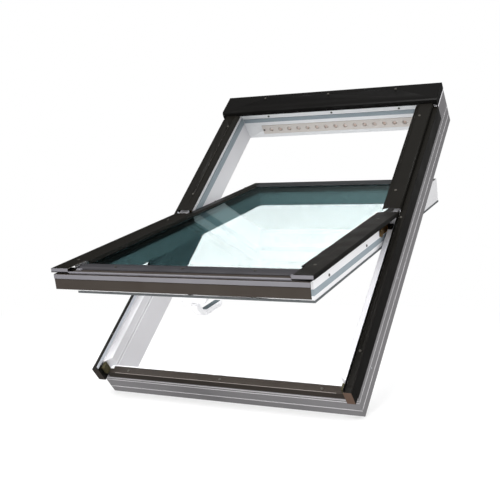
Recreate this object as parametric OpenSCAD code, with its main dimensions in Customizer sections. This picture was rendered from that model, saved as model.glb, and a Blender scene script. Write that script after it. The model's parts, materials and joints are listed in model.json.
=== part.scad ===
// Centre-pivot roof window: frame, sash, insulating glass, covers, arc hinges, handle and latch.
// Before the whole window is pitched, x runs along the sill, y up the slope and z out of the roof,
// with z = 0 at the top of the frame's inner edge. The sash is described closed and then opened.

/* [Window] */
// Width over the outer faces of the frame
frame_w = 780; // [550:10:1140]
// Length over the outer faces of the frame, up the slope
frame_h = 1180; // [780:10:1400]
// Depth from the top of the frame's inner edge to its room side
frame_d = 126; // [122:1:150]
// Pitch of the roof that the window lies in
pitch = 45; // [15:1:80]
// Opening of the sash as drawn, from closed
opening = 31.7; // [0:0.1:60]

/* [Frame profile] */
// Width of each jamb
jamb_t = 40; // [36:1:60]
// Width of the head
head_t = 40; // [36:1:60]
// Width of the sill's rim
sill_t = 26; // [24:1:32]
// Width of the sill's foot
sill_foot_t = 30; // [28:1:36]
// Depth of the sill's rim below the frame's inner edge
sill_drop = 30; // [24:1:34]
// Height of the frame's outer ledge above its inner edge
ledge_h = 4.4; // [2:0.1:6]
// Width of the frame's outer ledge
ledge_t = 19; // [17:0.5:19]
// Wall of the frame's profile chamber
frame_wall = 3; // [2:0.5:4]

/* [Sash] */
// Clearance between the sash and the jambs and head
sash_gap = 5; // [4:0.5:8]
// Clearance between the sash and the sill's rim
sash_foot_gap = 8; // [7:0.5:12]
// Width of the sash profile
sash_t = 27; // [26:1:40]
// Depth of the sash below the frame's inner edge
sash_drop = 69; // [66:1:80]
// Height of the sash above the frame's inner edge
sash_rise = 10.3; // [9:0.1:11]
// Wall of the sash profile's chamber
sash_wall = 3; // [2:0.5:3.5]

/* [Glass] */
// Thickness of each pane
pane_t = 4; // [3:1:6]
// Height of the glass above the frame's inner edge
glass_w = 5; // [3:0.5:5.5]
// Gap between the two panes
cavity = 16; // [10:1:16]
// Clearance round the edges of the glass
glass_gap = 2; // [1:0.5:3]

/* [Covers] */
// Thickness of the cover sheet
sheet = 1.2; // [0.8:0.1:1.6]
// Seat clearance under a cover
seat = 0.3; // [0.1:0.05:0.5]
// Top of the sash's lower side covers
low_cover_w = 18; // [17.8:0.1:20]
// Top of the fixed upper side covers
up_cover_w = 19.5; // [19:0.1:22]
// Top of the head cover
head_cover_w = 32; // [28:0.5:40]
// Reach of the head cover down the slope from the head's outer face
head_reach = 90; // [60:1:110]
// Reach of the lower covers past the sill's outer face
overhang = 27; // [22:1:40]

/* [Hinge] */
// Distance of the pivot line above the middle of the frame
pivot_up = 16; // [0:1:40]
// Height of the pivot line above the frame's inner edge
pivot_w = 40; // [38:0.5:42]
// Middle radius of the hinge's arc
arc_r = 64; // [62:1:66]
// Thickness of the sliding arc
arc_t = 7.7; // [6:0.1:9]
// Running clearance round the sliding arc
arc_fit = 0.3; // [0.15:0.05:0.5]

/* [Handle] */
// Distance of the handle's spindle from the middle of the sash
handle_u = 6; // [-100:1:100]
// Length of the handle's grip
grip_l = 85; // [60:1:100]
// Across flats of the spindle
spindle_af = 7; // [6:0.5:7]
// Travel and length of the latch bolt
bolt_travel = 12; // [10:0.5:14]

/* [Hidden] */
$fn = 48;

pvc = "whitesmoke";
cover = "#35322d";
seal_grey = "#8f9ba2";
steel = "silver";
brass = "#b5883f";

// Frame
half_w = frame_w / 2;
inner_u = half_w - jamb_t;
head_v = frame_h - head_t;
slip = 0.2;
core_gap = 0.3;
chamber_t = 21;
chamber_w = -56;
foot_wall = 8;
foot_step_w = -72;
core_w = -66;
core_t = 1.5;
corner_l = 45;
jamb_groove_w = -37.5;
head_groove_w = -50.5;
groove_h = 5.5;
groove_d = 4;
bracket_w = -76;
bracket_r = 2.5;
bracket_l = 3;
bracket_in = [117, 126];
bracket_n = 4;
bracket_pitch = (frame_h - bracket_in[0] - bracket_in[1]) / (bracket_n - 1);

// Sash
sash_u = inner_u - sash_gap;
sash_v0 = sill_t + sash_foot_gap;
sash_v1 = head_v - sash_gap;
rebate_t = 10;
foot_rise = 8;
gasket_t = 2;
rebate_w = glass_w - 2 * pane_t - cavity - gasket_t;
outer_wall = 5;
cavity_t = sash_t - outer_wall - sash_wall;
cavity_top = rebate_w - 3;
cavity_low = -sash_drop + sash_wall;
glass_u = sash_u - rebate_t - glass_gap;
glass_v = [sash_v0 + rebate_t + glass_gap, sash_v1 - rebate_t - glass_gap];
sash_seal_w = [-52, -36];
sash_seal_t = 2.5;

// Covers
pivot_v = frame_h / 2 + pivot_up;
cover_joint_v = pivot_v + 3;
upper_v = pivot_v + 6;
head_lip_v = frame_h - head_reach;
side_u = half_w + 2;
flange_u = half_w - 16;
flange_w = ledge_h + seat + sheet;
glass_edge_u = glass_u - 16.4;
wing_u = half_w - 15;
lip_u = half_w - ledge_t;
lip_w = 15.5;
block_u = half_w - 31;
block_l = 10;
block_v = -8;
corner_v = 12.5;

// Hinge: angles run from straight down towards the head
arc_closed = [14, 64];
housing_arc = [-52, 66];
housing_t = 14;
housing_wall = 5;
tongue_l = 16;
plate_t = 3.5;
brake_r = 12;
brake_v = pivot_v - 74;
brake_w = -26;

// Handle and latch
handle_v = sash_v0 + 17;
bolt = [16, bolt_travel, 8];
bolt_w = -58;
case_l = 110;
grip_t = 14;
grip_w = 22;
neck_l = 36;
neck_d = 38;

// Offset of an open path to its left, mitred at its corners
function unit(a) = a / norm(a);
function left_of(a) = [-a[1], a[0]];
function beside(p, t) = [for (i = [0 : len(p) - 1])
    let (before = unit(p[max(i, 1)] - p[max(i, 1) - 1]),
        after = unit(p[min(i, len(p) - 2) + 1] - p[min(i, len(p) - 2)]))
    p[i] + (left_of(before) + left_of(after)) * t / (1 + before * after)];
function reversed(p) = [for (i = [len(p) - 1 : -1 : 0]) p[i]];

// A folded sheet whose outer face follows path p
module folded(p, t = -sheet) polygon(concat(p, reversed(beside(p, t))));

// A section in x and z, drawn out along y, and a section in y and z, drawn out along x
module along_y(y0, y1) translate([0, y1, 0]) rotate([90, 0, 0]) linear_extrude(y1 - y0) children();
module along_x(x0, x1) translate([x0, 0, 0]) rotate([90, 0, 90]) linear_extrude(x1 - x0) children();

// A block between two corners
module block_between(a, b) translate(a) cube(b - a);

// The right-hand piece, or its mirror image on the left
module on_side(side) {
    if (side > 0) children();
    else mirror([1, 0, 0]) children();
}

// A plan outline, cut right through the depth of the window
module plan(p) translate([0, 0, -200]) linear_extrude(300) polygon(p);

// The pitched window, with its origin on the room side of the sill
module pitched() rotate([pitch, 0, 0]) translate([0, -sill_foot_t / 2, frame_d]) children();

// A sash piece, opened about the pivot line
module opened() pitched()
    translate([0, pivot_v, pivot_w]) rotate([-opening, 0, 0]) translate([0, -pivot_v, -pivot_w])
    children();

// Pan-head screw with its head on z = 0, and the hole that it needs
screw_r = 1.6;
module screw(l) {
    difference() {
        cylinder(r = 3.6, h = 1.6);
        for (turn = [0, 90]) rotate(turn) translate([-2, -0.4, 0.8]) cube([4, 0.8, 1]);
    }
    translate([0, 0, -l]) cylinder(r = screw_r, h = l);
}
module screw_hole(l) translate([0, 0, -l]) cylinder(r = screw_r + slip, h = l + 5);

// Places of the cover screws, as [x, y]
side_screws = [for (v = [109, pivot_v - 19]) [half_w - 8.5, v]];
upper_screws = [for (v = [pivot_v + 80, head_lip_v - 60]) [half_w - 44, v]];
head_screws = [for (u = [-1, 0, 1]) [u * (half_w - 150), frame_h - 18]];
sill_screws = [for (u = [-1, 0, 1]) [u * (half_w - 93), 8.5]];
low_screws = [for (v = [sash_v0 + 20, pivot_v - 91]) [sash_u, v]];
high_screws = [for (v = [pivot_v + 210, sash_v1 - 90]) [sash_u - 5, v]];
bottom_screws = [for (u = [-1, 0, 1]) [u * (half_w - 187), 22]];
rim_screws = [for (u = [-1, 0, 1]) u * (half_w - 148)];
head_inner_w = -31;

// ---- Frame

// Chambers: one for the steel core, one above it and, on the jambs, one behind the inner face
module core_chamber() translate([frame_wall, -frame_d + foot_wall])
    square([chamber_t, chamber_w + frame_d - foot_wall]);
module upper_chamber(top) translate([frame_wall, chamber_w + frame_wall])
    square([chamber_t, top - chamber_w - 2 * frame_wall]);
module inner_chamber() translate([frame_wall + chamber_t + frame_wall, -frame_d + foot_wall])
    square([jamb_t - chamber_t - 3 * frame_wall, chamber_w + frame_d - foot_wall]);

// Weather ribs on the outer face
module ribs(places) for (w = places) translate([-0.8, w - 0.7]) square([1.2, 1.4]);

// Jamb and head section, from its outer face at x = 0
module frame_section(width, groove_w) difference() {
    union() {
        polygon([[0, -frame_d], [width, -frame_d], [width, 0], [ledge_t, 0],
            [ledge_t, ledge_h], [0, ledge_h]]);
        ribs([-64, -96]);
    }
    core_chamber();
    upper_chamber(0);
    translate([width - groove_d, groove_w]) square([groove_d + 1, groove_h]);
}

module sill_section() difference() {
    union() {
        polygon([[0, -frame_d], [sill_foot_t, -frame_d], [sill_foot_t, foot_step_w],
            [sill_t, foot_step_w], [sill_t, -sill_drop], [0, -sill_drop]]);
        ribs([-67, -100]);
    }
    core_chamber();
    upper_chamber(-sill_drop);
}

// The jamb's lower end, cut back above the sill's rim for the corner block
module corner_seat() block_between([0, -60, -sill_drop], [block_u + block_l + slip, corner_v, 60]);

module bracket_holes() for (i = [0 : bracket_n - 1])
    translate([half_w - bracket_l, bracket_in[0] + i * bracket_pitch, bracket_w])
        rotate([0, 90, 0]) cylinder(r = bracket_r, h = bracket_l + 2);

// A band of an arc about the pivot, in y and z
module arc_band(r1, r2, a1, a2) intersection() {
    difference() {
        circle(r2, $fn = 96);
        circle(r1, $fn = 96);
    }
    polygon(concat([[0, 0]], [for (i = [0 : 4]) let (a = a1 + i * (a2 - a1) / 4)
        2 * r2 * [sin(a), -cos(a)]]));
}
arc_in = arc_r - arc_t / 2;
arc_out = arc_r + arc_t / 2;
module about_pivot(x0, x1) translate([0, pivot_v, pivot_w]) along_x(x0, x1) children();

module frame_jamb(side) color(pvc) pitched() on_side(side) difference() {
    intersection() {
        along_y(0, frame_h) translate([half_w, 0]) mirror([1, 0]) difference() {
            frame_section(jamb_t, jamb_groove_w);
            inner_chamber();
        }
        plan([[half_w + 1, -1], [half_w + 1, frame_h + 1], [half_w, frame_h],
            [inner_u - 5, head_v - 5], [inner_u - 5, sill_foot_t * (jamb_t + 5) / jamb_t],
            [half_w, 0]]);
    }
    corner_seat();
    bracket_holes();
    about_pivot(inner_u - 1, inner_u + housing_t + slip)
        arc_band(arc_in - housing_wall - slip, arc_out + housing_wall + slip, -64, 72);
    for (p = side_screws) translate([p[0], p[1], ledge_h]) screw_hole(10);
}
module frame_jamb_left() frame_jamb(-1);
module frame_jamb_right() frame_jamb(1);

module frame_head() color(pvc) pitched() difference() {
    intersection() {
        along_x(-half_w, half_w) translate([frame_h, 0]) mirror([1, 0])
            frame_section(head_t, head_groove_w);
        plan([[-half_w, frame_h], [-half_w - 1, frame_h + 1], [half_w + 1, frame_h + 1],
            [half_w, frame_h], [inner_u - 5, head_v - 5], [-inner_u + 5, head_v - 5]]);
    }
    block_between([-vent_u, head_v - 1, vent_w[0] + 5], [vent_u, head_v + 12, vent_w[1] - 5]);
    for (x = rim_screws) translate([x, head_v, head_inner_w]) rotate([90, 0, 0]) screw_hole(12);
    for (x = [-1, 1]) translate([x * (vent_u + 9), head_v, vent_mid]) rotate([90, 0, 0]) screw_hole(12);
}

module frame_sill() color(pvc) pitched() difference() {
    intersection() {
        along_x(-half_w, half_w) sill_section();
        plan([[-half_w, 0], [-half_w - 1, -1], [half_w + 1, -1], [half_w, 0],
            [inner_u - 5, sill_foot_t * (jamb_t + 5) / jamb_t],
            [-inner_u + 5, sill_foot_t * (jamb_t + 5) / jamb_t]]);
    }
    block_between([handle_u - 32 - slip, sill_t - sheet - slip, bolt_w - 14 - slip],
        [handle_u + 32 + slip, sill_t + 1, bolt_w + 14 + slip]);
    block_between([handle_u - bolt[0] / 2 - 1, sill_t - bolt[1], bolt_w - bolt[2] / 2 - 1],
        [handle_u + bolt[0] / 2 + 1, sill_t, bolt_w + bolt[2] / 2 + 1]);
    for (p = sill_screws) translate([p[0], p[1], -sill_drop]) screw_hole(10);
}

// Galvanised box sections inside the chambers
core_size = [chamber_t - 2 * core_gap, core_w + frame_d - foot_wall - core_gap];
module core_section() translate([frame_wall + core_gap, -frame_d + foot_wall + core_gap]) difference() {
    square(core_size);
    translate([core_t, core_t]) square([core_size[0] - 2 * core_t, core_size[1] - 2 * core_t]);
}
module jamb_cores() color(steel) pitched() for (side = [-1, 1]) on_side(side)
    along_y(corner_l, frame_h - corner_l) translate([half_w, 0]) mirror([1, 0]) core_section();
module head_core() color(steel) pitched() along_x(-half_w + corner_l, half_w - corner_l)
    translate([frame_h, 0]) mirror([1, 0]) core_section();
module sill_core() color(steel) pitched() along_x(-half_w + corner_l, half_w - corner_l) core_section();

module side_cover(side) color(cover) pitched() on_side(side) difference() {
    along_y(0, head_lip_v) folded([[flange_u, flange_w], [side_u, flange_w], [side_u, -46]]);
    for (p = side_screws) translate([p[0], p[1], ledge_h]) screw_hole(10);
}
module side_cover_left() side_cover(-1);
module side_cover_right() side_cover(1);

end_u = half_w - 21;
end_l = 20;
module side_cover_end(side) color(cover) pitched() on_side(side) {
    along_y(-end_l, -seat) folded([[end_u, -42], [end_u, flange_w], [side_u, flange_w], [side_u, -42]]);
    block_between([end_u, -end_l, -42], [side_u, sheet - end_l, flange_w]);
}
module side_cover_end_left() side_cover_end(-1);
module side_cover_end_right() side_cover_end(1);

module weather_lip(side) color("#1c1b19") pitched() on_side(side) {
    along_y(-17, cover_joint_v) polygon([[lip_u, flange_w], [lip_u + 2.5, flange_w],
        [lip_u + 2.5, lip_w], [lip_u + 1, lip_w]]);
    along_y(0, cover_joint_v) translate([lip_u, ledge_h]) square([2.5, flange_w - ledge_h]);
}
module weather_lip_left() weather_lip(-1);
module weather_lip_right() weather_lip(1);

module upper_cover(side) color(cover) pitched() on_side(side) difference() {
    along_y(upper_v, head_lip_v - 0.5) folded([[inner_u - 29, up_cover_w - 5.5],
        [inner_u - 16, up_cover_w - 0.6], [inner_u - 12, up_cover_w], [half_w - 16, up_cover_w],
        [half_w - 12.5, up_cover_w - 2], [half_w - 12, flange_w + seat]]);
    for (p = upper_screws) translate([p[0], p[1], up_cover_w]) screw_hole(10);
}
module upper_cover_left() upper_cover(-1);
module upper_cover_right() upper_cover(1);

head_path = [[frame_h + seat, -46], [frame_h + 4, -46], [frame_h + 4, head_cover_w - 4],
    [frame_h, head_cover_w], [head_lip_v + 10, head_cover_w], [head_lip_v + 4, head_cover_w - 4],
    [head_lip_v + 2, head_cover_w - 9], [head_lip_v, head_cover_w - 17]];
cap_u = half_w - 2;
module head_cover() color(cover) pitched() difference() {
    along_x(-cap_u, cap_u) folded(head_path, sheet);
    for (p = head_screws) translate([p[0], p[1], head_cover_w]) screw_hole(10);
}
module head_cover_cap(side) color("#1c1b19") pitched() on_side(side) along_x(cap_u, half_w)
    polygon([[frame_h + 4, ledge_h + seat], [frame_h + 4, head_cover_w - 4], [frame_h, head_cover_w],
        [head_lip_v + 10, head_cover_w], [head_lip_v + 4, head_cover_w - 4],
        [head_lip_v + seat, head_cover_w - 17], [head_lip_v + seat, ledge_h + seat]]);
module head_cover_cap_left() head_cover_cap(-1);
module head_cover_cap_right() head_cover_cap(1);

module sill_cover() color(cover) pitched() difference() {
    union() {
        along_x(-inner_u + seat, inner_u - seat) folded([[21.5, sheet - sill_drop],
            [-sheet, sheet - sill_drop], [-sheet, -51]], sheet);
        along_x(-block_u - block_l, block_u + block_l)
            translate([-sheet, -sill_drop]) square([corner_v - slip + sheet, sheet]);
        along_x(-end_u + seat, end_u - seat)
            translate([-sheet, -51]) square([sheet, 51 - sill_drop + sheet]);
    }
    for (p = sill_screws) translate([p[0], p[1], -sill_drop]) screw_hole(10);
}

module corner_block(side) color("#3b3a2e") pitched() on_side(side) along_x(block_u, block_u + block_l)
    polygon([[block_v, 3 - sill_drop], [-sheet, sheet - sill_drop], [corner_v - slip, sheet - sill_drop],
        [corner_v - slip, 0], [block_v, 0]]);
module corner_block_left() corner_block(-1);
module corner_block_right() corner_block(1);

// Seal of the upper half: a foot in the groove and a strip on the frame's inner face
seal_low = -55;
module seal_section(h, groove_w) {
    square([2.5, h]);
    translate([-groove_d + slip, groove_w - seal_low + slip])
        square([groove_d - slip, groove_h - 2 * slip]);
}
seal_v0 = pivot_v + 34;
module frame_seal() color(seal_grey) pitched() {
    for (side = [-1, 1]) on_side(side) along_y(seal_v0, head_v - 3)
        translate([inner_u, seal_low]) mirror([1, 0]) seal_section(23.5, jamb_groove_w);
    along_x(-inner_u + 3, inner_u - 3) translate([head_v, seal_low]) mirror([1, 0])
        seal_section(16, head_groove_w);
}

// Air inlet: a strip with star-shaped holes over a foam filter
vent_w = [-108, -71];
vent_mid = (vent_w[0] + vent_w[1]) / 2;
vent_u = inner_u - 81;
vent_t = 3;
star_pitch = 35.7;
star_n = 2 * floor((vent_u - 10) / star_pitch) + 1;
module star() for (turn = [0 : 30 : 150]) rotate(turn) square([17, 2.4], center = true);
module vent_strip() color(pvc) pitched() difference() {
    block_between([-vent_u - 15, head_v - vent_t, vent_w[0]], [vent_u + 15, head_v, vent_w[1]]);
    for (i = [0 : star_n - 1]) translate([(i - (star_n - 1) / 2) * star_pitch, head_v + 1, vent_mid])
        rotate([90, 0, 0]) linear_extrude(vent_t + 2) star();
    for (x = [-1, 1]) translate([x * (vent_u + 9), head_v - vent_t, vent_mid])
        rotate([90, 0, 0]) screw_hole(12);
}
module vent_filter() color("#a8642f") pitched() block_between(
    [-vent_u + seat, head_v + seat, vent_w[0] + 5 + seat],
    [vent_u - seat, head_v + 10, vent_w[1] - 5 - seat]);

module frame_screws() color("#55524c") pitched() {
    for (side = [-1, 1]) on_side(side) {
        for (p = side_screws) translate([p[0], p[1], flange_w]) screw(8);
        for (p = upper_screws) translate([p[0], p[1], up_cover_w]) screw(8);
    }
    for (p = head_screws) translate([p[0], p[1], head_cover_w]) screw(8);
    for (p = sill_screws) translate([p[0], p[1], sheet - sill_drop]) screw(8);
    for (x = rim_screws) translate([x, head_v, head_inner_w]) rotate([90, 0, 0]) screw(10);
    for (x = [-1, 1]) translate([x * (vent_u + 9), head_v - vent_t, vent_mid]) rotate([90, 0, 0]) screw(12);
}

module hinge_housing(side) color(steel) pitched() on_side(side) difference() {
    about_pivot(inner_u, inner_u + housing_t)
        arc_band(arc_in - housing_wall, arc_out + housing_wall, housing_arc[0], housing_arc[1]);
    about_pivot(inner_u - 1, inner_u - sash_gap + tongue_l + 0.5)
        arc_band(arc_in - arc_fit, arc_out + arc_fit, housing_arc[0] - 5, housing_arc[1] + 5);
}
module hinge_housing_left() hinge_housing(-1);
module hinge_housing_right() hinge_housing(1);

module striker_plate() color(steel) pitched() difference() {
    block_between([handle_u - 32, sill_t - sheet, bolt_w - 14], [handle_u + 32, sill_t, bolt_w + 14]);
    block_between([handle_u - bolt[0] / 2 - 0.5, sill_t - 3, bolt_w - bolt[2] / 2 - 0.5],
        [handle_u + bolt[0] / 2 + 0.5, sill_t + 1, bolt_w + bolt[2] / 2 + 0.5]);
}

// ---- Sash

module sash_section(rise) difference() {
    polygon([[0, -sash_drop], [sash_t, -sash_drop], [sash_t, rebate_w], [rebate_t, rebate_w],
        [rebate_t, rise], [0, rise]]);
    translate([outer_wall, cavity_low]) square([cavity_t, cavity_top - cavity_low]);
}
mitre = 40;
module stile_plan() plan([[sash_u, sash_v0], [sash_u, sash_v1], [sash_u - mitre, sash_v1 - mitre],
    [sash_u - mitre, sash_v0 + mitre]]);
module rail_plan(v, up) plan([[-sash_u, v], [sash_u, v], [sash_u - mitre, v + up * mitre],
    [-sash_u + mitre, v + up * mitre]]);

// Recesses in the sash's side for the seal of the lower half and for the hinge arm
module side_seal_box(extra) block_between(
    [sash_u - sash_seal_t, sash_v0 + sash_seal_t, sash_seal_w[0]],
    [sash_u + extra, pivot_v - 6, sash_seal_w[1]]);
module foot_seal_box(extra) block_between([-sash_u, sash_v0 - extra, sash_seal_w[0]],
    [sash_u, sash_v0 + sash_seal_t, sash_seal_w[1]]);
module arm_plate(extra) {
    block_between([sash_u - plate_t - extra, pivot_v - 91 - extra, -34 - extra],
        [sash_u + 5 * extra, pivot_v + 74 + extra, -4 + extra]);
    block_between([sash_u - plate_t - extra, pivot_v + 20 - extra, -6],
        [sash_u + 5 * extra, pivot_v + 74 + extra, 8 + extra]);
}
side_screw_v = [sash_v0 + 98, pivot_v - 199];

module sash_stile(side) color(pvc) opened() on_side(side) difference() {
    intersection() {
        along_y(sash_v0, sash_v1) translate([sash_u, 0]) mirror([1, 0]) sash_section(sash_rise);
        stile_plan();
    }
    side_seal_box(1);
    foot_seal_box(1);
    arm_plate(slip);
    for (v = side_screw_v) translate([sash_u, v, -29.5]) rotate([0, 90, 0]) screw_hole(8);
    for (p = high_screws) translate([p[0], p[1], sash_rise]) screw_hole(9);
}
module sash_stile_left() sash_stile(-1);
module sash_stile_right() sash_stile(1);

module sash_top_rail() color(pvc) opened() intersection() {
    along_x(-sash_u, sash_u) translate([sash_v1, 0]) mirror([1, 0]) sash_section(sash_rise);
    rail_plan(sash_v1, -1);
}
module sash_bottom_rail() color(pvc) opened() difference() {
    intersection() {
        along_x(-sash_u, sash_u) translate([sash_v0, 0]) sash_section(foot_rise);
        rail_plan(sash_v0, 1);
    }
    foot_seal_box(1);
    translate([handle_u, handle_v, -sash_drop - 1]) cylinder(r = 6, h = 8);
    block_between([handle_u - bolt[0] / 2 - seat, sash_v0 - 1, bolt_w - bolt[2] / 2 - seat],
        [handle_u + bolt[0] / 2 + seat, sash_v0 + 10, bolt_w + bolt[2] / 2 + seat]);
}

module pane(top) block_between([-glass_u, glass_v[0], top - pane_t], [glass_u, glass_v[1], top]);
module outer_pane() color("lightcyan", 0.4) opened() pane(glass_w);
module inner_pane() color("lightcyan", 0.4) opened() pane(glass_w - pane_t - cavity);

// A flat ring round the glass, inset from its edge
module glass_ring(inset, t, z0, z1) translate([0, 0, z0]) linear_extrude(z1 - z0) difference() {
    translate([-glass_u + inset, glass_v[0] + inset])
        square([2 * (glass_u - inset), glass_v[1] - glass_v[0] - 2 * inset]);
    translate([-glass_u + inset + t, glass_v[0] + inset + t])
        square([2 * (glass_u - inset - t), glass_v[1] - glass_v[0] - 2 * (inset + t)]);
}
module pane_spacer() color(steel) opened() glass_ring(4, 6.5, glass_w - pane_t - cavity, glass_w - pane_t);
module glazing_gasket() color("#4a4d4f") opened() glass_ring(2, 13, rebate_w, rebate_w + gasket_t);

lean = 5;
cover_in_u = glass_u - 22;
module sash_cover(side) color(cover) opened() on_side(side) difference() {
    along_y(-overhang, cover_joint_v) folded([[cover_in_u, glass_w + 1.1],
        [cover_in_u, low_cover_w - 2], [inner_u - 13, low_cover_w],
        [wing_u - 2, low_cover_w], [wing_u, low_cover_w - 2], [wing_u, flange_w + seat]]);
    for (p = low_screws) translate([p[0], p[1], low_cover_w]) screw_hole(9);
    block_between([0, -overhang - 1, 0], [glass_edge_u + lean, foot_cover_v[1] + seat, 30]);
}
module sash_cover_left() sash_cover(-1);
module sash_cover_right() sash_cover(1);

// Light profile under each lower side cover, with a plate that closes the cover's lower end
carrier_top = low_cover_w - sheet - seat;
plate_u = glass_edge_u + 2.8;
plate_end_u = wing_u - 0.4;
plate_w = 8.5;
module cover_carrier(side) color("gainsboro") opened() on_side(side) difference() {
    union() {
        along_y(-overhang + 1, cover_joint_v) difference() {
            translate([sash_u - rebate_t + 0.5, sash_rise]) square([32, carrier_top - sash_rise]);
            translate([sash_u - rebate_t + 2, sash_rise + 1.5]) square([29, carrier_top - sash_rise - 3]);
        }
        block_between([glass_edge_u + 11.5, -overhang, 10], [wing_u - 8, 1 - overhang, carrier_top - 0.9]);
        block_between([plate_u, -overhang - 1.2, plate_w], [plate_end_u, -overhang, low_cover_w - seat]);
        block_between([plate_u, -overhang - 2, plate_w - 2.1], [plate_end_u, -overhang, plate_w]);
    }
    for (p = low_screws) translate([p[0], p[1], low_cover_w]) screw_hole(9);
}
module cover_carrier_left() cover_carrier(-1);
module cover_carrier_right() cover_carrier(1);

flat_cover_w = sash_rise + seat + sheet;
rail_cover_v = sash_v1 - 50;
rail_end_v = sash_v1 - rebate_t - seat;
module sash_upper_cover(side) color(cover) opened() on_side(side) difference() {
    along_y(cover_joint_v + seat, sash_v1 - 1) folded([[glass_edge_u, glass_w + 1.1],
        [glass_edge_u + 4.4, flat_cover_w - 0.8], [glass_edge_u + 8, flat_cover_w],
        [sash_u - 2, flat_cover_w]]);
    for (p = high_screws) translate([p[0], p[1], flat_cover_w]) screw_hole(9);
    block_between([0, rail_end_v, 0], [glass_edge_u + 8, sash_v1, 30]);
}
module sash_upper_cover_left() sash_upper_cover(-1);
module sash_upper_cover_right() sash_upper_cover(1);

module top_rail_cover() color(cover) opened() {
    along_x(-glass_edge_u + seat, glass_edge_u - seat) folded([[rail_cover_v, glass_w + 1.1],
        [rail_cover_v + 4.4, flat_cover_w - 0.8], [rail_cover_v + 8, flat_cover_w],
        [sash_v1 - 1, flat_cover_w]]);
    block_between([-glass_edge_u - 8 + seat, rail_end_v + seat, flat_cover_w - sheet],
        [glass_edge_u + 8 - seat, sash_v1 - 1, flat_cover_w]);
}

// Rounded profile over the lower edge of the glass
foot_w = 1.2 + sheet;
foot_cover_v = [sash_v0 - 22, sash_v0 + 18];
module bottom_glazing_cover() color("#4b4a4c") opened() difference() {
    along_x(-glass_edge_u - lean + seat, glass_edge_u + lean - seat) folded([
        [foot_cover_v[1], glass_w + 1.1],
        [foot_cover_v[1] - 2, 9], [foot_cover_v[1] - 10, 11.2], [foot_cover_v[1] - 20, 11.7],
        [foot_cover_v[0] + 8, 9.5], [foot_cover_v[0] + 2, 7], [foot_cover_v[0], 4],
        [foot_cover_v[0], foot_w + seat]], sheet);
    for (p = bottom_screws) translate([p[0], p[1], 8]) screw_hole(9);
}
module glazing_cover_clips() color("gainsboro") opened() for (side = [-1, 1]) on_side(side)
    block_between([glass_edge_u - 14, foot_cover_v[0] - 9, foot_w],
        [glass_edge_u + 2, foot_cover_v[0] - seat, 7]);

front_v = -overhang - 3;
front_u = half_w - 24;
module bottom_rail_cover() color(cover) opened() along_x(-front_u, front_u)
    folded([[sash_v0 - slip, foot_w], [front_v, foot_w], [front_v, -39]], sheet);

// Light extruded strip along the front of the bottom rail's cover
module drip_strip() color("#918f95") opened() {
    along_x(-front_u, front_u) translate([front_v - 1.5, -10]) square([1.5, 11.4]);
    along_x(-glass_edge_u - 2, glass_edge_u + 2) polygon([[front_v + 6, foot_w], [front_v + 6, 9],
        [front_v, 9], [front_v, 6.5], [front_v + 4.5, 6.5], [front_v + 4.5, foot_w]]);
}

module sash_seal() color(seal_grey) opened() {
    for (side = [-1, 1]) on_side(side) side_seal_box(0);
    foot_seal_box(0);
}

// Dark gasket round the room side of the sash
gasket_out = 1.5;
gasket_w = [-sash_drop, -sash_drop + 6];
module sash_gasket() color("#6b6f71") opened() translate([0, 0, gasket_w[0]])
    linear_extrude(gasket_w[1] - gasket_w[0]) difference() {
        translate([-sash_u - gasket_out, sash_v0 - gasket_out])
            square([2 * (sash_u + gasket_out), sash_v1 - sash_v0 + 2 * gasket_out]);
        translate([-sash_u, sash_v0]) square([2 * sash_u, sash_v1 - sash_v0]);
    }

module hinge_arm(side) color(steel) opened() on_side(side) {
    arm_plate(0);
    about_pivot(sash_u, sash_u + tongue_l) arc_band(arc_in, arc_out, arc_closed[0], arc_closed[1]);
}
module hinge_arm_left() hinge_arm(-1);
module hinge_arm_right() hinge_arm(1);

module hinge_brakes() color(brass) opened() for (side = [-1, 1]) on_side(side) {
    translate([sash_u, brake_v, brake_w]) rotate([0, 90, 0]) difference() {
        cylinder(r = brake_r, h = 2.4);
        translate([0, 0, 1]) cylinder(r = 4, h = 2);
    }
    block_between([sash_u, pivot_v - 20, -29], [sash_u + 2.4, pivot_v - 2, -18]);
}

module sash_screws() color("#55524c") opened() {
    for (side = [-1, 1]) on_side(side) {
        for (p = low_screws) translate([p[0], p[1], low_cover_w]) screw(4);
        for (p = high_screws) translate([p[0], p[1], flat_cover_w]) screw(8);
        for (v = side_screw_v) translate([sash_u, v, -29.5]) rotate([0, 90, 0]) screw(6);
    }
    for (p = bottom_screws) translate([p[0], p[1], 10.9]) screw(6);
}

// ---- Handle and latch

module lock_case() color(steel) opened() difference() {
    block_between([handle_u - case_l / 2, sash_v0 + outer_wall + core_gap, cavity_low + core_gap],
        [handle_u + case_l / 2, sash_v0 + outer_wall + cavity_t - core_gap, cavity_top - core_gap]);
    translate([handle_u, handle_v, -80]) cylinder(r = spindle_af * 0.8, h = 40);
    block_between([handle_u - bolt[0] / 2 - seat, sash_v0, bolt_w - bolt[2] / 2 - seat],
        [handle_u + bolt[0] / 2 + seat, sash_v0 + 2 + bolt[1], bolt_w + bolt[2] / 2 + seat]);
}

rosette_h = 19;
rosette_l = 39;
rosette_edge = 11;
module handle_base() color(pvc) opened() translate([handle_u, handle_v, -sash_drop - rosette_h])
    difference() {
        along_y(-9, 9) polygon([[-rosette_l, rosette_h], [-rosette_l, rosette_edge],
            [10 - rosette_l, 0], [rosette_l - 10, 0], [rosette_l, rosette_edge], [rosette_l, rosette_h]]);
        translate([0, 0, -1]) cylinder(r = spindle_af * 0.8, h = rosette_h + 2);
        for (x = [-22, 22]) translate([x, 0, -1]) cylinder(r = 3, h = 5);
    }

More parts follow.
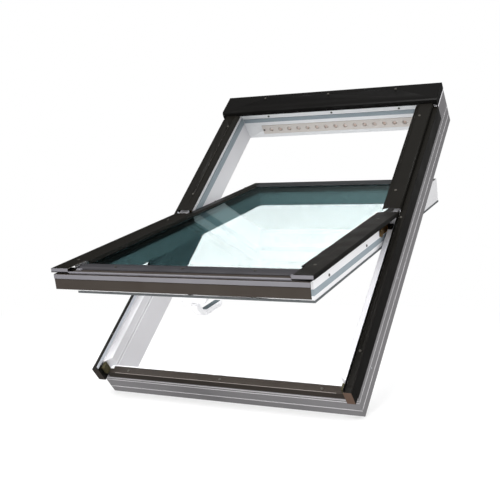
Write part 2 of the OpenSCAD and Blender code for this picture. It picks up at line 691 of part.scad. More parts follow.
// The handle is one casting: a collar, a swept neck and a grip that lies along the slope
collar_w = -sash_drop - rosette_h - slip;
neck_v = handle_v + neck_l;
grip_low = collar_w - 6 - neck_d;
function bend(c, r, a0, a1, n) = [for (i = [0 : n])
    let (a = a0 + i * (a1 - a0) / n) c + r * [cos(a), sin(a)]];
module handle() color(pvc) opened() difference() {
    union() {
        translate([handle_u, handle_v, collar_w - 8]) cylinder(r = 9.5, h = 8);
        along_x(handle_u - grip_w / 2 + 2, handle_u + grip_w / 2 - 2) polygon(concat(
            [[handle_v + 8, collar_w - 5], [handle_v - 8, collar_w - 5]],
            [[handle_v - 7, collar_w - 16], [handle_v + 12, grip_low + 8]],
            bend([neck_v, grip_low + 20], 20, -115, -90, 4),
            bend([neck_v + grip_l - grip_t / 2, grip_low + grip_t / 2], grip_t / 2, -90, 90, 8),
            [[neck_v, grip_low + grip_t], [handle_v + 20, grip_low + grip_t + 6]]));
        block_between([handle_u - grip_w / 2, neck_v - 4, grip_low + 3],
            [handle_u + grip_w / 2, neck_v + grip_l - 7, grip_low + grip_t - 3]);
    }
    translate([handle_u - spindle_af / 2 - slip, handle_v - spindle_af / 2 - slip, collar_w - 12])
        cube([spindle_af + 2 * slip, spindle_af + 2 * slip, 20]);
}
module handle_grip() color("#59646a") opened() block_between(
    [handle_u - 8, neck_v + 2, grip_low + grip_t],
    [handle_u + 8, neck_v + grip_l - 10, grip_low + grip_t + 1.5]);
module spindle() color(steel) opened() block_between(
    [handle_u - spindle_af / 2, handle_v - spindle_af / 2, collar_w - 11],
    [handle_u + spindle_af / 2, handle_v + spindle_af / 2, bolt_w + 14]);
module latch_bolt() color(steel) opened() block_between(
    [handle_u - bolt[0] / 2, sash_v0 + 0.5, bolt_w - bolt[2] / 2],
    [handle_u + bolt[0] / 2, sash_v0 + 0.5 + bolt[1], bolt_w + bolt[2] / 2]);

frame_jamb_left();
frame_jamb_right();
frame_head();
frame_sill();
jamb_cores();
head_core();
sill_core();
side_cover_left();
side_cover_right();
side_cover_end_left();
side_cover_end_right();
weather_lip_left();
weather_lip_right();
upper_cover_left();
upper_cover_right();
head_cover();
head_cover_cap_left();
head_cover_cap_right();
sill_cover();
corner_block_left();
corner_block_right();
frame_seal();
vent_strip();
vent_filter();
frame_screws();
hinge_housing_left();
hinge_housing_right();
striker_plate();
sash_stile_left();
sash_stile_right();
sash_top_rail();
sash_bottom_rail();
outer_pane();
inner_pane();
pane_spacer();
glazing_gasket();
sash_cover_left();
sash_cover_right();
cover_carrier_left();
cover_carrier_right();
sash_upper_cover_left();
sash_upper_cover_right();
top_rail_cover();
bottom_glazing_cover();
glazing_cover_clips();
bottom_rail_cover();
drip_strip();
sash_seal();
sash_gasket();
hinge_arm_left();
hinge_arm_right();
hinge_brakes();
sash_screws();
lock_case();
handle_base();
handle();
handle_grip();
spindle();
latch_bolt();
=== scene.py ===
# Centre-pivot roof window: the looks of its frame, sash, glass, covers, hinges and handle.
# Lengths in this script are in millimetres in the window's own axes, until a piece is placed:
# u runs right along the sill, v up the slope from the sill's outer face, w out of the roof.
import json
import math

import bmesh
import bpy
from mathutils import Matrix, Vector

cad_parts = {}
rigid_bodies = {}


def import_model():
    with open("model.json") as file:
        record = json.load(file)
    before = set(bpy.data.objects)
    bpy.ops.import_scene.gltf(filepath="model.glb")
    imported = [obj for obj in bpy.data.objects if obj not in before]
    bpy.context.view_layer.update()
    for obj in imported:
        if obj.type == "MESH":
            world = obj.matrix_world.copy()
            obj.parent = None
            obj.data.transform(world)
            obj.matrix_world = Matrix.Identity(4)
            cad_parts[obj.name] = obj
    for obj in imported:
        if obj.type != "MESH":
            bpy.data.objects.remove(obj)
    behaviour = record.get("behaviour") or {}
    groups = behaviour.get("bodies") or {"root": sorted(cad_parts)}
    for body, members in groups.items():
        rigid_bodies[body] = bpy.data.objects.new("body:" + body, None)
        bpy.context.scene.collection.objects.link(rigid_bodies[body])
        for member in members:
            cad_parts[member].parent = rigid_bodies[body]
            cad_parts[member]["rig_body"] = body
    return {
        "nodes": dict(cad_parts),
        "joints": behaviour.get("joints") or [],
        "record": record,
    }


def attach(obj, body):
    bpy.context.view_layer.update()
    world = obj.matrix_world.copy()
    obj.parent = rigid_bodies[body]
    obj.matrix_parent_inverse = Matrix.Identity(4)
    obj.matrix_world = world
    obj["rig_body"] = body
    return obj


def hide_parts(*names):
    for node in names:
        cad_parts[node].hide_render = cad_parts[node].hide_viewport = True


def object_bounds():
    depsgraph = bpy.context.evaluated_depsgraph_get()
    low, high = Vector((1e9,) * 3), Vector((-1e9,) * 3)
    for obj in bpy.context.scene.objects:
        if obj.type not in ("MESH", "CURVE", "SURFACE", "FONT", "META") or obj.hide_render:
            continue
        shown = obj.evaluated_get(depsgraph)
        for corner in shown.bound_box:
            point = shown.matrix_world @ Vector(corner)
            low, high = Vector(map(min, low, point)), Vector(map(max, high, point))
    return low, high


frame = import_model()
CAD_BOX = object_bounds()

# ---------------------------------------------------------------- places, from the frame

MM = 0.001
SILL_FOOT = 30.0  # width of the sill's foot, which the row's origin halves
FRAME_DEPTH = 126.0  # from the frame's inner top edge to its room side
MOUNTS = {m["name"]: m for m in frame["record"]["mounts"]}
PIVOT = [j for j in frame["joints"] if j["name"] == "sash_pivot"][0]
OUT = -Vector(MOUNTS["lining_face"]["axis"])
UPSLOPE = Vector((0, OUT.z, -OUT.y))

# Window millimetres to the row's metres
FRAME_AXES = Matrix.Translation(-MM * (SILL_FOOT / 2 * UPSLOPE - FRAME_DEPTH * OUT)) @ Matrix((
    (MM, 0, 0, 0),
    (0, MM * UPSLOPE.y, MM * OUT.y, 0),
    (0, MM * UPSLOPE.z, MM * OUT.z, 0),
    (0, 0, 0, 1),
))
INTO_WINDOW = FRAME_AXES.inverted()


def span(node):
    """Lowest and highest corner of a CAD node in window millimetres."""
    points = [INTO_WINDOW @ v.co for v in frame["nodes"][node].data.vertices]
    low = Vector([min(p[i] for p in points) for i in range(3)])
    high = Vector([max(p[i] for p in points) for i in range(3)])
    return low, high


# ---------------------------------------------------------------- materials

def hexa(code):
    """sRGB hex to a linear colour."""
    parts = [int(code[i:i + 2], 16) / 255 for i in (1, 3, 5)]
    linear = [c / 12.92 if c <= 0.04045 else ((c + 0.055) / 1.055) ** 2.4 for c in parts]
    return (*linear, 1.0)


def add(tree, kind, inputs=None, **settings):
    """Adds a node with its settings, values and links."""
    made = tree.nodes.new(kind)
    for key, value in settings.items():
        setattr(made, key, value)
    for key, value in (inputs or {}).items():
        if isinstance(value, bpy.types.NodeSocket):
            tree.links.new(value, made.inputs[key])
        else:
            made.inputs[key].default_value = value
    return made


def per_metre(size_mm):
    """Noise scale whose features are about this size."""
    return 1.0 / (size_mm * MM)


def ramp(value, start, end, low, high):
    """Inputs of a Map Range: value from start to end gives low to high."""
    return {"Value": value, "From Min": start, "From Max": end, "To Min": low, "To Max": high}


def surface(name, colour, mottle, mottle_mm, grain_mm, grain_depth, rough, rough_spread, **shader):
    """A moulded, extruded or coated surface: slow colour change, fine grain and uneven gloss.
    mottle_mm, grain_mm and grain_depth are in millimetres. A grain of 0.5 to 2 mm is coarser than
    that of the real finishes, which is too fine to show."""
    material = bpy.data.materials.new(name)
    material.use_nodes = True
    tree = material.node_tree
    bsdf = tree.nodes["Principled BSDF"]
    place = add(tree, "ShaderNodeTexCoord").outputs["Object"]
    slow = add(tree, "ShaderNodeTexNoise", {
        "Vector": place, "Scale": per_metre(mottle_mm), "Detail": 3.0})
    tint = add(tree, "ShaderNodeMix", {
        "Factor": slow.outputs["Fac"], "A": hexa(colour), "B": hexa(mottle)}, data_type="RGBA")
    tree.links.new(tint.outputs["Result"], bsdf.inputs["Base Color"])
    gloss = add(tree, "ShaderNodeMapRange", ramp(
        slow.outputs["Fac"], 0.3, 0.7, rough - rough_spread, rough + rough_spread))
    tree.links.new(gloss.outputs["Result"], bsdf.inputs["Roughness"])
    grain = add(tree, "ShaderNodeTexNoise", {
        "Vector": place, "Scale": per_metre(grain_mm), "Detail": 2.0})
    bump = add(tree, "ShaderNodeBump", {
        "Height": grain.outputs["Fac"], "Distance": grain_depth * MM, "Strength": 1.0})
    tree.links.new(bump.outputs["Normal"], bsdf.inputs["Normal"])
    for key, value in shader.items():
        bsdf.inputs[key.replace("_", " ")].default_value = value
    return material


# Extruded window PVC: clean, faintly waxy white with an almost even satin gloss
white_pvc = surface("extruded_white_pvc", "#f0f0f2", "#f6f6f8", 140, 1.5, 0.01, 0.34, 0.04, IOR=1.53)
# The same PVC on the jambs, drawn a shade greyer than on the sash, the head and the sill, as painted
# shade. The real pieces are most likely one PVC.
jamb_pvc_painted_shade = surface("extruded_pvc_painted_shade", "#e3e2e5", "#e9e8eb", 140, 1.5, 0.01, 0.34, 0.04, IOR=1.53)
# Regrind-backed PVC of the hidden outer side: mid grey and duller than the white face
grey_pvc = surface("extruded_grey_pvc", "#797779", "#817f81", 90, 1.2, 0.02, 0.5, 0.05, IOR=1.53)
# Ribs of the outer side: drawn paler than the grey skin as painted highlights, and smoother
rib_highlight_pvc = surface("grey_pvc_painted_highlight", "#b9b7b9", "#c3c1c3", 90, 1.0, 0.01, 0.4, 0.05, IOR=1.53)
# Coil-coated aluminium sheet: matt brown-black lacquer with a fine leathery grain
dark_sheet = surface("coil_coated_aluminium", "#110f0b", "#15130f", 60, 1.6, 0.05, 0.42, 0.06,
                     Specular_IOR_Level=0.22)
# The head cover's coat, drawn darker as painted shade, and a little smoother
head_sheet_painted_shade = surface("coil_coated_aluminium_painted_shade", "#090807", "#0d0c0b", 60, 1.6, 0.05, 0.38, 0.06,
                      Specular_IOR_Level=0.15)
# The same coat where it faces the front, on the sash, the sill and the left closed end, drawn
# browner and paler: painted light
front_sheet_painted_light = surface("coil_coated_aluminium_painted_light", "#352f2a", "#3c3631", 60, 1.6, 0.05, 0.45, 0.06,
                      Specular_IOR_Level=0.22)
# Moulded polypropylene end caps and lips: matt black
black_moulding = surface("moulded_black_polypropylene", "#0b0b0a", "#11110f", 30, 1.0, 0.05, 0.5, 0.06,
                         Specular_IOR_Level=0.2)
# Moulded corner blocks: dark olive, matt
olive_moulding = surface("moulded_olive_abs", "#3e3a26", "#4a452e", 30, 1.0, 0.05, 0.5, 0.06,
                         Specular_IOR_Level=0.25)
# Lacquered extrusion over the foot of the glass: darker grey with soft gloss
grey_extrusion = surface("lacquered_grey_extrusion", "#3c3b3e", "#454448", 50, 1.0, 0.02, 0.35, 0.05,
                         Metallic=0.4)
# Satin anodised aluminium: light grey, even and dull, its draw lines too fine to draw
anodised = surface("satin_anodised_aluminium", "#9c9aa0", "#a4a2a8", 60, 0.8, 0.01, 0.4, 0.05,
                   Metallic=0.6)
# Blue-grey weather seal: dull rubber
grey_rubber = surface("blue_grey_epdm", "#939ea5", "#9ca8b0", 40, 0.8, 0.04, 0.6, 0.05, IOR=1.5)
# Dark gaskets: dull rubber
dark_rubber = surface("dark_grey_epdm", "#5d6163", "#686d6f", 40, 0.8, 0.04, 0.6, 0.05, IOR=1.5)
# Bare aluminium where the coated sheet is cut, drawn paler than the coat, also as a painted
# highlight along the sheets' rims
bare_edge_and_highlight = surface("bare_aluminium_edge_and_painted_highlight", "#7c7872", "#8e8a84", 20, 0.6, 0.02, 0.4, 0.06, Metallic=0.5)
# Vent grille: warm pale beige moulding with a soft sheen
beige_grille = surface("beige_grille_plastic", "#d2cac4", "#dad3ce", 60, 1.0, 0.02, 0.45, 0.05, IOR=1.5)
# Inner face of the weather lips and the pilot plugs: cool pale grey, as smooth as the frame
pale_lip = surface("pale_blue_grey_pvc", "#c2c6ce", "#cbcfd6", 60, 1.0, 0.02, 0.45, 0.05, IOR=1.5)
# Brown lacquer of the right side cover's closed end, drawn warmer and paler than on the left one as
# painted light. The real ends are most likely one lacquer.
right_end_painted_light = surface("end_lacquer_painted_light", "#5a483c", "#654f42", 14, 1.2, 0.05, 0.45, 0.06,
                     Specular_IOR_Level=0.3)
# Painted highlight along a fold: pinkish grey
fold_highlight_paint = surface("painted_fold_highlight", "#8b847f", "#958d88", 40, 1.0, 0.02, 0.4, 0.05,
                       Specular_IOR_Level=0.3)
# Slate lacquer of the top rail's cover: near black, cooler than the coil coat
slate_sheet = surface("slate_lacquer", "#26282a", "#2e3032", 60, 1.2, 0.04, 0.4, 0.06,
                      Specular_IOR_Level=0.3)
# Warm-edge spacer with its black butyl: matt black
warm_edge = surface("black_butyl_spacer", "#050606", "#080909", 30, 1.0, 0.02, 0.6, 0.05,
                    Specular_IOR_Level=0.2)
# The grip: grey-green and dull
grip_grey_green_finish = surface("grip_grey_green", "#4d595e", "#59656a", 20, 0.7, 0.08, 0.55, 0.05,
                      IOR=1.5)
# Zinc-plated steel: bright grey with cloudy passivation
zinc = surface("zinc_plated_steel", "#b4b4b6", "#c8c8ca", 12, 0.6, 0.02, 0.35, 0.08, Metallic=1.0)
# Passivated brake parts: dull yellow brass
brass = surface("dull_brass", "#8f6f35", "#a9874a", 10, 0.5, 0.02, 0.32, 0.06, Metallic=1.0)
# Painted screw heads: grey-brown over steel, a little shine at the rims
screw_paint = surface("painted_screw_steel", "#4f4c47", "#5a5751", 8, 0.5, 0.02, 0.38, 0.05,
                      Metallic=0.3)
# Open-cell filter foam behind the vent's stars: brown, rough, and drawn with white patches of painted
# light shining through it, so that it shows in the shade of the vent
foam = surface("polyurethane_foam_painted_light", "#ffffff", "#b07850", 9, 2.0, 0.8, 0.9, 0.03)


GLASS_WAVE, GLASS_WAVE_DEPTH = 180, 0.3  # roller waves of toughened float glass
MIRROR_TINT = (0.75, 0.95, 0.95, 1.0)
HEAD_ON_SHARE = 0.02  # of light mirrored by a face that is seen straight on


def float_glass(name, seen, lit, shine):
    """Thin flat glass: what is seen through it takes the coating's tint, its shadow stays pale.
    shine is the share of light that it mirrors edge-on."""
    material = bpy.data.materials.new(name)
    material.use_nodes = True
    tree = material.node_tree
    tree.nodes.remove(tree.nodes["Principled BSDF"])
    path = add(tree, "ShaderNodeLightPath")
    tint = add(tree, "ShaderNodeMix", {"Factor": path.outputs["Is Camera Ray"], "A": lit, "B": seen},
               data_type="RGBA")
    clear = add(tree, "ShaderNodeBsdfTransparent", {"Color": tint.outputs["Result"]})
    place = add(tree, "ShaderNodeTexCoord").outputs["Object"]
    waves = add(tree, "ShaderNodeTexNoise", {
        "Vector": place, "Scale": per_metre(GLASS_WAVE), "Detail": 1.0})
    bump = add(tree, "ShaderNodeBump", {
        "Height": waves.outputs["Fac"], "Distance": GLASS_WAVE_DEPTH * MM})
    mirror = add(tree, "ShaderNodeBsdfGlossy", {
        "Color": MIRROR_TINT, "Roughness": 0.01, "Normal": bump.outputs["Normal"]})
    facing = add(tree, "ShaderNodeLayerWeight", {"Blend": 0.5})
    edge_on = add(tree, "ShaderNodeMath", {0: facing.outputs["Facing"], 1: 5.0}, operation="POWER")
    share = add(tree, "ShaderNodeMath", {
        0: edge_on.outputs["Value"], 1: shine, 2: HEAD_ON_SHARE}, operation="MULTIPLY_ADD")
    both = add(tree, "ShaderNodeMixShader", {
        "Fac": share.outputs["Value"], 1: clear.outputs["BSDF"], 2: mirror.outputs["BSDF"]})
    tree.links.new(both.outputs["Shader"], tree.nodes["Material Output"].inputs["Surface"])
    return material


# Coated outer pane with a blue-green cast, and a plain inner pane. A pane has two faces, and each
# takes the tint, so the two panes pass only about 7 percent of red and 15 of green and blue to the
# eye. That is far darker than real glass, and is meant for this script's own bright table and room.
CLEAR = (1, 1, 1, 1)
coated_glass = float_glass("coated_float_glass", (0.47, 0.575, 0.59, 1), CLEAR, 0.6)
plain_glass = float_glass("plain_float_glass", (0.575, 0.67, 0.67, 1), CLEAR, 0.1)


# ---------------------------------------------------------------- pieces

def finish_piece(bm, name, body, material, nodes=(), other=None):
    """Makes an object of a mesh that is already in the row's metres, and hands it to the frame."""
    mesh = bpy.data.meshes.new(name)
    bm.to_mesh(mesh)
    bm.free()
    mesh.materials.append(material)
    if other is not None:
        mesh.materials.append(other)
    piece = bpy.data.objects.new(name, mesh)
    bpy.context.scene.collection.objects.link(piece)
    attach(piece, body)
    if nodes:
        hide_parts(*nodes)
    return piece


def face_width(face):
    return face.calc_area() / max(e.calc_length() for e in face.edges)


SHEET_EDGE = 1.35  # widest face that a sheet's cut edge makes
SHARPEST_FOLD, FLATTEST_FOLD = math.radians(120), math.radians(12)
SHORTEST_FOLD = 6.0


def cut_edge(face):
    """A sheet's bare edge: a face no wider than the sheet is thick."""
    return face_width(face) < SHEET_EDGE * MM


def softened(node, material, fold, rim, other=None, where=None):
    """A CAD node's own shape with its folds rounded to one radius and its rims to a finer one.
    Faces picked by where take the other material."""
    source = frame["nodes"][node]
    bm = bmesh.new()
    bm.from_mesh(source.data)
    bmesh.ops.remove_doubles(bm, verts=bm.verts, dist=2e-6)
    bmesh.ops.dissolve_limit(bm, angle_limit=math.radians(0.5), verts=bm.verts, edges=bm.edges)
    bm.normal_update()
    for face in bm.faces:
        face.material_index = int(where is not None and where(face))
    # A fold lies between two wide faces. A rim lies beside a face too narrow for a fold.
    fold_room, rim_room = 2.4 * fold, 2.2 * rim
    for radius, narrowest, widest in ((fold, fold_room, math.inf), (rim, rim_room, fold_room)):
        edges = []
        for e in bm.edges:
            if len(e.link_faces) != 2 or e.calc_length() < SHORTEST_FOLD * MM:
                continue
            if not FLATTEST_FOLD < e.calc_face_angle() < SHARPEST_FOLD:
                continue
            if narrowest * MM <= min(face_width(f) for f in e.link_faces) < widest * MM:
                edges.append(e)
        if edges:
            bmesh.ops.bevel(
                bm, geom=edges, offset=radius * MM, offset_type="OFFSET", affect="EDGES",
                segments=2, profile=0.5, material=-1, clamp_overlap=True)
    return finish_piece(bm, "shaped_" + node, source["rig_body"], material, [node], other)


def painted(node, material):
    """A CAD node that keeps its own mesh and gets a finish."""
    slots = frame["nodes"][node].data.materials
    slots.clear()
    slots.append(material)


def faces_down_slope(face):
    """A closed end that looks down the slope, wider than any sheet's edge."""
    return face.normal.dot(UPSLOPE) < -0.8 and face_width(face) > 5 * MM


def faces_middle(face):
    """Faces that look towards the middle of the window."""
    return face.normal.x * face.calc_center_median().x < 0 and abs(face.normal.x) > 0.5


# Pieces of the left and right side. The two radii are those of folds and of rims.
SHEET_RIM = 0.35
# The closed ends' down-slope faces carry painted light: the front coat on the left, paler on the right
ENDS_PAINTED_LIGHT = {"left": front_sheet_painted_light, "right": right_end_painted_light}
for side in ("left", "right"):
    softened("frame_jamb_" + side, jamb_pvc_painted_shade, 0.8, 0.4)
    softened("sash_stile_" + side, white_pvc, 1.0, 0.4)
    softened("side_cover_" + side, dark_sheet, 1.6, SHEET_RIM, bare_edge_and_highlight, cut_edge)
    softened("side_cover_end_" + side, dark_sheet, 1.2, SHEET_RIM,
             ENDS_PAINTED_LIGHT[side], faces_down_slope)
    for cover, fold in (("upper_cover_", 1.2), ("sash_cover_", 0.8), ("sash_upper_cover_", 0.8)):
        softened(cover + side, dark_sheet, fold, SHEET_RIM, bare_edge_and_highlight, cut_edge)
    softened("cover_carrier_" + side, black_moulding, 0.5, 0.3,
             anodised, faces_down_slope)
    softened("corner_block_" + side, olive_moulding, 1.2, 0.4)
    softened("weather_lip_" + side, black_moulding, 0.4, 0.3,
             pale_lip, faces_middle)
    softened("head_cover_cap_" + side, black_moulding, 0.5, 0.4)
    painted("hinge_housing_" + side, black_moulding)
    painted("hinge_arm_" + side, brass)
# Pieces that run across the window, and the handle's base
for node, material, slot, fold, rim in (
    ("frame_head", white_pvc, "white_pvc", 0.8, 0.4),
    ("frame_sill", white_pvc, "white_pvc", 0.8, 0.4),
    ("sash_top_rail", white_pvc, "white_pvc", 1.0, 0.4),
    ("sash_bottom_rail", white_pvc, "white_pvc", 1.0, 0.4),
    ("head_cover", head_sheet_painted_shade, "cover_paint", 1.6, SHEET_RIM),
    ("sill_cover", front_sheet_painted_light, "cover_paint", 1.6, SHEET_RIM),
    ("top_rail_cover", slate_sheet, "cover_paint", 0.8, SHEET_RIM),
    ("bottom_rail_cover", front_sheet_painted_light, "cover_paint", 1.6, SHEET_RIM),
    ("bottom_glazing_cover", grey_extrusion, "glazing_cover", 0.8, SHEET_RIM),
    ("drip_strip", anodised, "light_aluminium", 0.4, 0.3),
    ("frame_seal", grey_rubber, "grey_seal", 0.6, 0.4),
    ("sash_seal", grey_rubber, "grey_seal", 0.6, 0.4),
    ("sash_gasket", dark_rubber, "dark_gasket", 0.6, 0.4),
    ("handle_base", white_pvc, "white_pvc", 3.0, 0.6),
    ("glazing_cover_clips", anodised, "light_aluminium", 0.8, 0.4),
):
    softened(node, material, fold, rim)
# Pieces whose CAD shape is already the finished one
for node, material in {
    "vent_strip": beige_grille, "vent_filter": foam, "glazing_gasket": dark_rubber,
    "jamb_cores": zinc, "head_core": zinc, "sill_core": zinc, "striker_plate": zinc,
    "pane_spacer": warm_edge, "lock_case": zinc, "spindle": zinc, "latch_bolt": zinc,
    "hinge_brakes": brass, "frame_screws": screw_paint, "sash_screws": screw_paint,
    "outer_pane": coated_glass, "inner_pane": plain_glass, "handle_grip": grip_grey_green_finish,
    "handle": white_pvc,
}.items():
    painted(node, material)


# ---------------------------------------------------------------- small parts drawn along the frame

# Grey skin of the frame's outer faces: its thickness, the teeth of its serration and its foot
SKIN, TOOTH, TOOTH_RISE = 0.35, 2.4, 0.45
SERRATION_FOOT = -67.0
SKIN_FOOT = 0.6 - FRAME_DEPTH
RIB_FOOT, RIB_TOP, RIB_WIDE, RIB_SLANT = 0.2, 1.2, 3.0, 0.6


def skin_section(teeth, top):
    """Outline in (out from the face, w): a thin skin, serrated below the covers."""
    points = [(0, SKIN_FOOT), (SKIN, SKIN_FOOT), (SKIN, SERRATION_FOOT)]
    for n in range(teeth):
        points += [(SKIN + TOOTH_RISE, SERRATION_FOOT + TOOTH * (n + 0.5)),
                   (SKIN, SERRATION_FOOT + TOOTH * (n + 1))]
    return points + [(SKIN, top), (0, top)]


def rib_section(w):
    """A flat-topped weather rib centred on w."""
    half = RIB_WIDE / 2
    return [(RIB_FOOT, w - half), (RIB_TOP, w - half + RIB_SLANT),
            (RIB_TOP, w + half - RIB_SLANT), (RIB_FOOT, w + half)]


def drawn(name, section, place, start, end, material):
    """A frame section drawn along one direction. place turns (along, out, w) into window axes."""
    bm = bmesh.new()
    ring = [bm.verts.new(place(start, out, w)) for out, w in section]
    face = bm.faces.new(ring)
    moved = bmesh.ops.extrude_face_region(bm, geom=[face])
    tips = [g for g in moved["geom"] if isinstance(g, bmesh.types.BMVert)]
    bmesh.ops.translate(bm, verts=tips, vec=place(end, 0, 0) - place(start, 0, 0))
    bmesh.ops.recalc_face_normals(bm, faces=bm.faces)
    bmesh.ops.transform(bm, matrix=FRAME_AXES, verts=bm.verts)
    return finish_piece(bm, name, "frame", material)


SILL = span("frame_sill")
HEAD = span("frame_head")
HALF = (SILL[1].x - SILL[0].x) / 2
LENGTH = HEAD[1].y - 0.8  # to the head's outer face, without its ribs
# The sill's skin is plain and ends under its cover. The others are serrated and end at the top.
SILL_SKIN, SERRATED_SKIN = skin_section(0, -34), skin_section(6, -1)
SILL_RIBS, OTHER_RIBS = (-57.5, -67, -100), (-64, -96)
for side, place, start, end, skin, ribs in (
    ("left", lambda along, out, w: Vector((-HALF - out, along, w)), 0, LENGTH,
     SERRATED_SKIN, OTHER_RIBS),
    ("right", lambda along, out, w: Vector((HALF + out, along, w)), 0, LENGTH,
     SERRATED_SKIN, OTHER_RIBS),
    ("sill", lambda along, out, w: Vector((along, -out, w)), -HALF, HALF,
     SILL_SKIN, SILL_RIBS),
    ("head", lambda along, out, w: Vector((along, LENGTH + out, w)), -HALF, HALF,
     SERRATED_SKIN, OTHER_RIBS),
):
    drawn("outer_skin_" + side, skin, place, start, end, grey_pvc)
    for n, w in enumerate(ribs):
        drawn(f"outer_highlight_rib_{side}_{n}", rib_section(w), place, start, end, rib_highlight_pvc)

# Rounded beads on the jambs' inner faces, in the whiter PVC so that they show as painted highlights
# on the greyer jambs: along the top edge, and on both sides of the seal groove
BEAD_WS = (-1.6, -28.5, -40)
BEAD_RISE, BEAD_FOOT_HALF, BEAD_TOP_HALF = 0.7, 1.3, 0.7
BEAD_START, BEAD_SHORT_OF_PIVOT = 26, 90
PIVOT_V = (INTO_WINDOW @ Vector(PIVOT["pos_m"])).y
INNER = span("frame_jamb_right")[0].x
for side, way in (("left", -1), ("right", 1)):
    for n, w in enumerate(BEAD_WS):
        drawn(f"jamb_highlight_bead_{side}_{n}",
              [(0, w - BEAD_FOOT_HALF), (BEAD_RISE, w - BEAD_TOP_HALF),
               (BEAD_RISE, w + BEAD_TOP_HALF), (0, w + BEAD_FOOT_HALF)],
              lambda along, out, w: Vector((way * (INNER - out), along, w)),
              BEAD_START, PIVOT_V - BEAD_SHORT_OF_PIVOT, white_pvc)

# Small plugged pilot marks on the grey faces
PILOT_VS, PILOT_W, PILOT_OUT = (116, 428, 740, 1052), -75, 0.45
PILOT_RADIUS, PILOT_THICK, PILOT_SIDES = 2.2, 0.3, 12
bm = bmesh.new()
for way in (-1, 1):
    for v in PILOT_VS:
        disc = bmesh.ops.create_circle(bm, cap_ends=True, segments=PILOT_SIDES, radius=PILOT_RADIUS)
        bmesh.ops.rotate(bm, verts=disc["verts"], matrix=Matrix.Rotation(math.radians(90), 3, "Y"))
        bmesh.ops.translate(bm, verts=disc["verts"], vec=(way * (HALF + PILOT_OUT), v, PILOT_W))
        faces = {f for vert in disc["verts"] for f in vert.link_faces}
        bmesh.ops.solidify(bm, geom=list(faces), thickness=PILOT_THICK)
bmesh.ops.recalc_face_normals(bm, faces=bm.faces)
bmesh.ops.transform(bm, matrix=FRAME_AXES, verts=bm.verts)
finish_piece(bm, "pilot_marks", "frame", pale_lip)

# Bead along the fold of the sill's cover, drawn pale as a painted highlight on the fold
FOLD_BEAD = [(0, -29.5), (0.5, -29), (0.5, -27.4), (0, -27)]
FOLD_BEAD_REACH = INNER - 12
SILL_FRONT = span("sill_cover")[0].y
drawn("sill_cover_highlight_bead", FOLD_BEAD, lambda along, out, w: Vector((along, SILL_FRONT - out, w)),
      -FOLD_BEAD_REACH, FOLD_BEAD_REACH, fold_highlight_paint)

# ---------------------------------------------------------------- table and room

WHITE = (1, 1, 1, 1)
# Where the eye looks through the glass at the table or the room, they are this bright, so that
# they stay white through the dark tint
THROUGH_GLASS = (19.0, 10.5, 10.0, 1)
# A ray that has crossed more clear faces than this has crossed glass: a pane has two, and the
# table's clear underside is one
CLEAR_FACES = 1.5
TABLE_SIZE, TABLE_BELOW = 40, 0.002
SPOT = (0, 0.4, 0)  # middle of the table's part below the window, in metres
DARK_CARD = 0.12  # how bright glossy coats see the table

bm = bmesh.new()
bmesh.ops.create_grid(bm, x_segments=1, y_segments=1, size=TABLE_SIZE)
floor_mesh = bpy.data.meshes.new("floor")
bm.to_mesh(floor_mesh)
bm.free()
floor = bpy.data.objects.new("floor", floor_mesh)
floor.location = (0, 0, CAD_BOX[0][2] - TABLE_BELOW)
bpy.context.scene.collection.objects.link(floor)

pale = bpy.data.materials.new("pale_floor")
pale.use_nodes = True
tree = pale.node_tree
board = tree.nodes["Principled BSDF"]
board.inputs["Base Color"].default_value = (0.9, 0.9, 0.9, 1)
board.inputs["Roughness"].default_value = 0.9
path = add(tree, "ShaderNodeLightPath")
on_table = add(tree, "ShaderNodeTexCoord").outputs["Object"]
spot = add(tree, "ShaderNodeVectorMath", {0: on_table, 1: SPOT}, operation="DISTANCE")
across = add(tree, "ShaderNodeSeparateXYZ", {"Vector": on_table})
# The table is itself a soft light for everything that isn't seen straight or in a mirror, so the
# undersides aren't dark. It is dimmer under the window and behind it.
glow = add(tree, "ShaderNodeMapRange", ramp(spot.outputs["Value"], 0.35, 1.0, 0.65, 1.95))
behind_it = add(tree, "ShaderNodeMapRange", ramp(across.outputs["Y"], 0.4, 1.0, 1.0, 0.4))
table = add(tree, "ShaderNodeMath", {
    0: glow.outputs["Result"], 1: behind_it.outputs["Result"]}, operation="MULTIPLY")
table_light = add(tree, "ShaderNodeEmission", {"Color": WHITE, "Strength": table.outputs["Value"]})
lit = add(tree, "ShaderNodeMixShader", {
    "Fac": path.outputs["Is Diffuse Ray"], 1: board.outputs["BSDF"],
    2: table_light.outputs["Emission"]})
# Glossy coats mirror a dark card in its place
dark_card = add(tree, "ShaderNodeEmission", {"Color": WHITE, "Strength": DARK_CARD})
carded = add(tree, "ShaderNodeMixShader", {
    "Fac": path.outputs["Is Glossy Ray"], 1: lit.outputs["Shader"],
    2: dark_card.outputs["Emission"]})
# Away from the window the table runs up into the white cove, so it has no edge
far = add(tree, "ShaderNodeMapRange", ramp(spot.outputs["Value"], 0.9, 2.4, 0.45, 1.0))
seen_far = add(tree, "ShaderNodeMath", {
    0: far.outputs["Result"], 1: path.outputs["Is Camera Ray"]}, operation="MULTIPLY")
cove = add(tree, "ShaderNodeEmission", {"Color": WHITE, "Strength": 1.0})
coved = add(tree, "ShaderNodeMixShader", {
    "Fac": seen_far.outputs["Value"], 1: carded.outputs["Shader"], 2: cove.outputs["Emission"]})
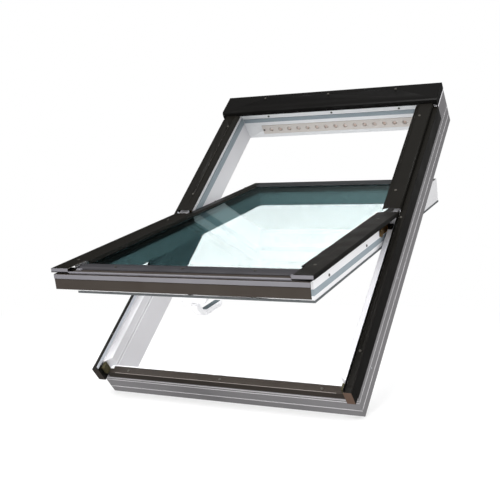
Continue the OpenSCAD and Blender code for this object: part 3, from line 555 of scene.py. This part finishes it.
# Through the panes
behind = add(tree, "ShaderNodeMath", {
    0: path.outputs["Transparent Depth"], 1: CLEAR_FACES}, operation="GREATER_THAN")
framed = add(tree, "ShaderNodeMath", {
    0: behind.outputs["Value"], 1: path.outputs["Is Camera Ray"]}, operation="MULTIPLY")
bright = add(tree, "ShaderNodeEmission", {"Color": THROUGH_GLASS, "Strength": 1.0})
both = add(tree, "ShaderNodeMixShader", {
    "Fac": framed.outputs["Value"], 1: coved.outputs["Shader"], 2: bright.outputs["Emission"]})
# From below, the table is clear
under = add(tree, "ShaderNodeMixShader", {
    "Fac": add(tree, "ShaderNodeNewGeometry").outputs["Backfacing"], 1: both.outputs["Shader"],
    2: add(tree, "ShaderNodeBsdfTransparent").outputs["BSDF"]})
tree.links.new(under.outputs["Shader"], tree.nodes["Material Output"].inputs["Surface"])
floor_mesh.materials.append(pale)

world = bpy.data.worlds.new("studio")
bpy.context.scene.world = world
world.use_nodes = True
tree = world.node_tree
background = tree.nodes["Background"]
path = add(tree, "ShaderNodeLightPath")
toward = add(tree, "ShaderNodeSeparateXYZ", {
    "Vector": add(tree, "ShaderNodeTexCoord").outputs["Generated"]})
# Glossy coats mirror a dim room that brightens overhead and to the right
overhead = add(tree, "ShaderNodeMapRange", ramp(toward.outputs["Z"], 0.6, 0.95, 0.02, 0.25))
beside = add(tree, "ShaderNodeMapRange", ramp(toward.outputs["X"], -0.52, -0.3, 0.0, 0.22))
mirrored = add(tree, "ShaderNodeMath", {
    0: overhead.outputs["Result"], 1: beside.outputs["Result"]}, operation="ADD")
# The room's own light is stronger from the left than from the right, and weaker from behind the
# window, so that its back is shaded too
room = add(tree, "ShaderNodeMapRange", ramp(toward.outputs["X"], -1.0, 1.0, 1.25, 1.05))
back = add(tree, "ShaderNodeMapRange", ramp(toward.outputs["Y"], 0.2, 0.9, 1.0, 0.65))
walls = add(tree, "ShaderNodeMath", {
    0: room.outputs["Result"], 1: back.outputs["Result"]}, operation="MULTIPLY")
soft = add(tree, "ShaderNodeMix", {
    "Factor": path.outputs["Is Glossy Ray"], "A": walls.outputs["Value"],
    "B": mirrored.outputs["Value"]}, data_type="FLOAT")
level = add(tree, "ShaderNodeCombineXYZ", {axis: soft.outputs["Result"] for axis in "XYZ"})
# The eye sees white, and the brighter colour through the panes
behind = add(tree, "ShaderNodeMath", {
    0: path.outputs["Transparent Depth"], 1: CLEAR_FACES}, operation="GREATER_THAN")
backdrop = add(tree, "ShaderNodeMix", {
    "Factor": behind.outputs["Value"], "A": WHITE, "B": THROUGH_GLASS}, data_type="RGBA")
shown = add(tree, "ShaderNodeMix", {
    "Factor": path.outputs["Is Camera Ray"], "A": level.outputs["Vector"],
    "B": backdrop.outputs["Result"]}, data_type="RGBA")
tree.links.new(shown.outputs["Result"], background.inputs["Color"])
background.inputs["Strength"].default_value = 1.0

# ---------------------------------------------------------------- lamps and camera


def softbox(name, place, aim, size, power):
    """A round area lamp, aimed at a point."""
    light = bpy.data.lights.new(name, "AREA")
    light.shape = "DISK"
    light.size = size
    light.energy = power
    lamp = bpy.data.objects.new(name, light)
    lamp.location = place
    lamp.rotation_euler = (Vector(aim) - Vector(place)).to_track_quat("-Z", "Y").to_euler()
    bpy.context.scene.collection.objects.link(lamp)


middle = (Vector(CAD_BOX[0]) + Vector(CAD_BOX[1])) / 2
softbox("key", middle + Vector((0.4, -3.4, 2.6)), middle, size=2.2, power=170)
softbox("fill", middle + Vector((-3.0, -1.0, 2.2)), middle, size=2.5, power=25)

# Where the camera stands, and its view's directions
EYE = (1.15065, -2.1317, 0.4964)
LOOK = Vector((-0.45682, 0.88885, -0.03577))
RIGHT = Vector((0.88946, 0.45699, -0.00363))
camera = bpy.data.cameras.new("camera")
camera.lens = 63.456
camera.sensor_width = 36
eye = bpy.data.objects.new("camera", camera)
up = RIGHT.cross(LOOK)
eye.matrix_world = Matrix.Translation(EYE) @ Matrix((
    (RIGHT.x, up.x, -LOOK.x, 0), (RIGHT.y, up.y, -LOOK.y, 0), (RIGHT.z, up.z, -LOOK.z, 0),
    (0, 0, 0, 1)))
bpy.context.scene.collection.objects.link(eye)
bpy.context.scene.camera = eye
bpy.context.scene.view_settings.view_transform = "Standard"
